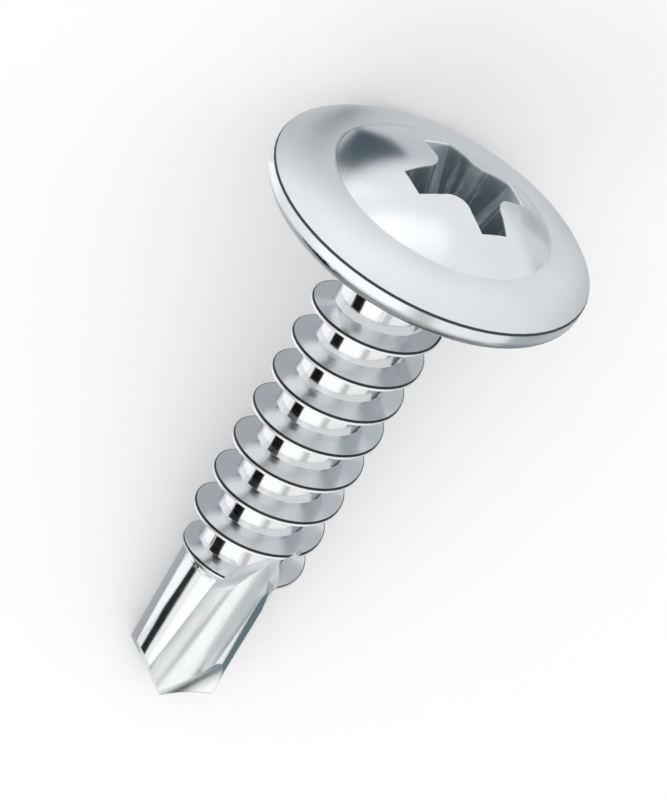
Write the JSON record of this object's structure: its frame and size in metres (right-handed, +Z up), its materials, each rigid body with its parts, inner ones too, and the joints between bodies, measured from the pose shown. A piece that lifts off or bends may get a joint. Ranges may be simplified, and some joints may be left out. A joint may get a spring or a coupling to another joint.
{
  "type": "self drilling screw",
  "caption": "Self-drilling screw: wafer head with a cross recess, coarse right-hand thread and a fluted drill point, bright zinc-plated steel.",
  "frame": {"origin": "on the ground, under the middle of the screw as it lies at rest", "axes": "+X level, from the head to the drill point; +Z up; the screw's own axis dips towards the point, because it rests on the head's rim and on two corners of a drill flute"},
  "size_m": [0.0212, 0.0106, 0.0104],
  "materials": {
    "zinc_plated_steel": "bright zinc plate: mirror-like on the thread and the drill point, satin on the head"
  },
  "bodies": {
    "root": {"screw": "zinc_plated_steel"}
  },
  "joints": []
}
